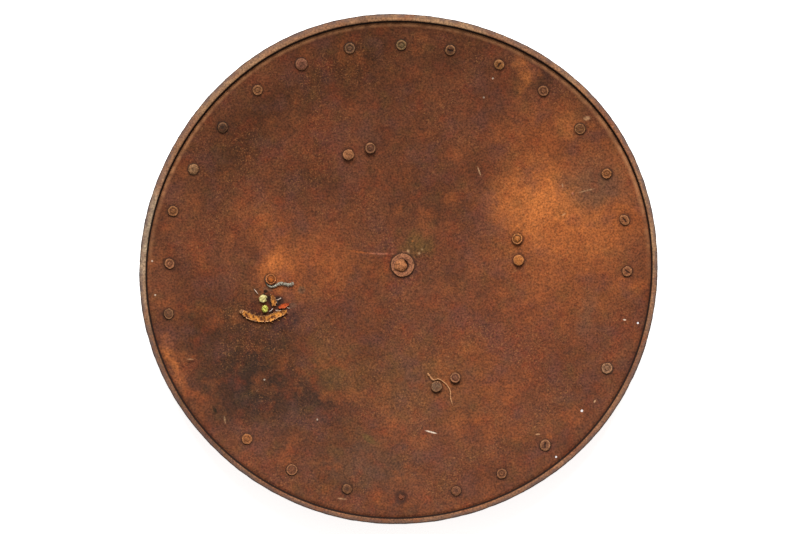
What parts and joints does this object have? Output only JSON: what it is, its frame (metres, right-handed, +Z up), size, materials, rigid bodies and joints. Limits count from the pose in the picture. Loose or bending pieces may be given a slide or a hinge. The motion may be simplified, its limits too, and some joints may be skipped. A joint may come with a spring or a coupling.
{
  "type": "buckler shield",
  "caption": "Round, shallowly dished sheet-iron buckler with a rolled edge, lying hollow side up, with rusted rivets, lost straps and a few shreds of leather and cord.",
  "frame": {"origin": "on the ground that the shield lies on, under the middle of its outline", "axes": "+Z up out of the hollow, away from the shield's front; +Y towards the top of the shield, the side of the strap rivets strap_rivet_top_a and strap_rivet_top_b; +X to the right as the wearer's side is looked down on"},
  "size_m": [0.452, 0.4456, 0.045],
  "materials": {
    "rusted_sheet_iron": "matt, evenly rusted wrought sheet iron, brown with orange and black stains",
    "rusted_rivet_iron": "matt, rusted wrought iron, a little greyer and rubbed on the edges",
    "old_leather": "dry, frayed, orange-tan with pale torn edges",
    "straw_cord": "dry, pale straw-coloured twisted fibre",
    "grey_cord": "dusty grey, frayed twisted cord",
    "flax_fibre": "dry, pale tan plant fibre"
  },
  "bodies": {
    "root": {"centre_rivet": "rusted_rivet_iron", "centre_rove": "rusted_rivet_iron", "flax_fibre": "flax_fibre", "grey_cord": "grey_cord", "rim_rivet_01": "rusted_rivet_iron", "rim_rivet_02": "rusted_rivet_iron", "rim_rivet_03": "rusted_rivet_iron", "rim_rivet_04": "rusted_rivet_iron", "rim_rivet_05": "rusted_rivet_iron", "rim_rivet_06": "rusted_rivet_iron", "rim_rivet_07": "rusted_rivet_iron", "rim_rivet_08": "rusted_rivet_iron", "rim_rivet_10": "rusted_rivet_iron", "rim_rivet_12": "rusted_rivet_iron", "rim_rivet_13": "rusted_rivet_iron", "rim_rivet_14": "rusted_rivet_iron", "rim_rivet_15_stub": "rusted_rivet_iron", "rim_rivet_16": "rusted_rivet_iron", "rim_rivet_17": "rusted_rivet_iron", "rim_rivet_18": "rusted_rivet_iron", "rim_rivet_21": "rusted_rivet_iron", "rim_rivet_22": "rusted_rivet_iron", "rim_rivet_23": "rusted_rivet_iron", "rim_rivet_24": "rusted_rivet_iron", "rim_rivet_25": "rusted_rivet_iron", "rim_rivet_26": "rusted_rivet_iron", "rim_rivet_27": "rusted_rivet_iron", "rim_rivet_28": "rusted_rivet_iron", "shield_plate": "rusted_sheet_iron", "strap_leather_shred_a": "old_leather", "strap_leather_shred_b": "old_leather", "strap_leather_strip": "old_leather", "strap_rivet_bottom_a": "rusted_rivet_iron", "strap_rivet_bottom_b": "rusted_rivet_iron", "strap_rivet_left_a": "rusted_rivet_iron", "strap_rivet_left_b": "rusted_rivet_iron", "strap_rivet_right_a": "rusted_rivet_iron", "strap_rivet_right_b": "rusted_rivet_iron", "strap_rivet_top_a": "rusted_rivet_iron", "strap_rivet_top_b": "rusted_rivet_iron", "strap_rove_bottom_a": "rusted_rivet_iron", "strap_rove_bottom_b": "rusted_rivet_iron", "strap_rove_left_b": "rusted_rivet_iron", "strap_rove_right_a": "rusted_rivet_iron", "strap_rove_right_b": "rusted_rivet_iron", "strap_rove_top_a": "rusted_rivet_iron", "strap_rove_top_b": "rusted_rivet_iron", "straw_knot_lower": "straw_cord", "straw_knot_upper": "straw_cord"}
  },
  "joints": []
}
